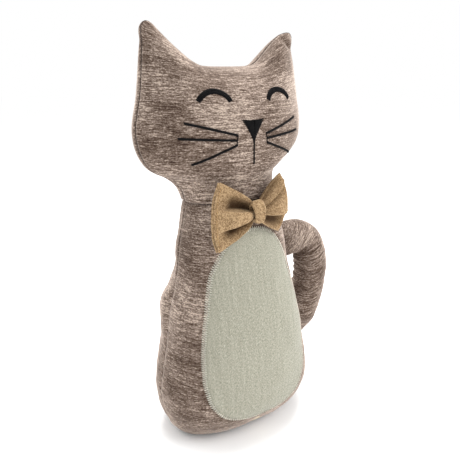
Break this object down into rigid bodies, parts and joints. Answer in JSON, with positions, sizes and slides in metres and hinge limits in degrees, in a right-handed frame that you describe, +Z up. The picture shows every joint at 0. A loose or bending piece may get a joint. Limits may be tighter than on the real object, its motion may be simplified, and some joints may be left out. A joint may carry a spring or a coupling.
{
  "type": "stuffed cat",
  "caption": "Stuffed fabric cat that stands on a weighted flat base, with a stitched face, a pale belly patch, a bow tie and a tail sewn into a carrying loop.",
  "frame": {"origin": "centre of the flat underside of the base panel", "axes": "+Z up, -Y the way the cat faces, +X the cat's left side, where the tail is"},
  "size_m": [0.2073, 0.1256, 0.381],
  "materials": {
    "heather_jersey": "brushed heather knit, matt, slightly fuzzy",
    "brown_thread": "matt sewing thread",
    "white_fibrefill": "polyester filling",
    "black_embroidery": "satin stitch in black thread",
    "calico": "plain calico",
    "gravel": "fine gravel",
    "linen": "pale melange linen, matt",
    "linen_thread": "melange thread",
    "tan_suedette": "brushed suedette",
    "tan_thread": "matt thread"
  },
  "bodies": {
    "torso": {"body_front_panel": "heather_jersey", "body_back_panel": "heather_jersey", "body_filling": "white_fibrefill", "body_side_seam_threads": "brown_thread", "neck_seam_thread": "brown_thread", "base_panel": "heather_jersey", "base_seam_thread": "brown_thread", "weight_pouch": "calico", "weight_granules": "gravel", "belly_patch": "linen", "belly_patch_stitching": "linen_thread", "bow_shank": "tan_thread"},
    "head": {"face_panel": "heather_jersey", "head_back_panel": "heather_jersey", "head_filling": "white_fibrefill", "head_seam_thread": "brown_thread", "right_eye": "black_embroidery", "left_eye": "black_embroidery", "nose_and_mouth": "black_embroidery", "right_whiskers": "black_embroidery", "left_whiskers": "black_embroidery"},
    "bow": {"bow_front_layer": "tan_suedette", "bow_back_layer": "tan_suedette", "bow_topstitching": "tan_thread", "bow_knot": "tan_suedette"},
    "tail": {"tail_cover": "heather_jersey", "tail_filling": "white_fibrefill", "tail_seam_thread": "brown_thread"}
  },
  "joints": [
    {"name": "head_nod", "type": "hinge", "parent": "torso", "child": "head", "pos_m": [0, 0, 0.205], "axis": [1, 0, 0], "range_deg": [-8, 5], "stiffness_Nm_per_rad": 1.5},
    {"name": "tail_swing", "type": "hinge", "parent": "torso", "child": "tail", "pos_m": [0.0577, 0, 0.172], "axis": [-0.2395, 0, 0.9709], "range_deg": [-15, 15], "stiffness_Nm_per_rad": 0.3},
    {"name": "bow_turn", "type": "hinge", "parent": "torso", "child": "bow", "pos_m": [0, -0.047, 0.226], "axis": [0, 1, 0], "range_deg": [-12, 12], "stiffness_Nm_per_rad": 0.02}
  ]
}
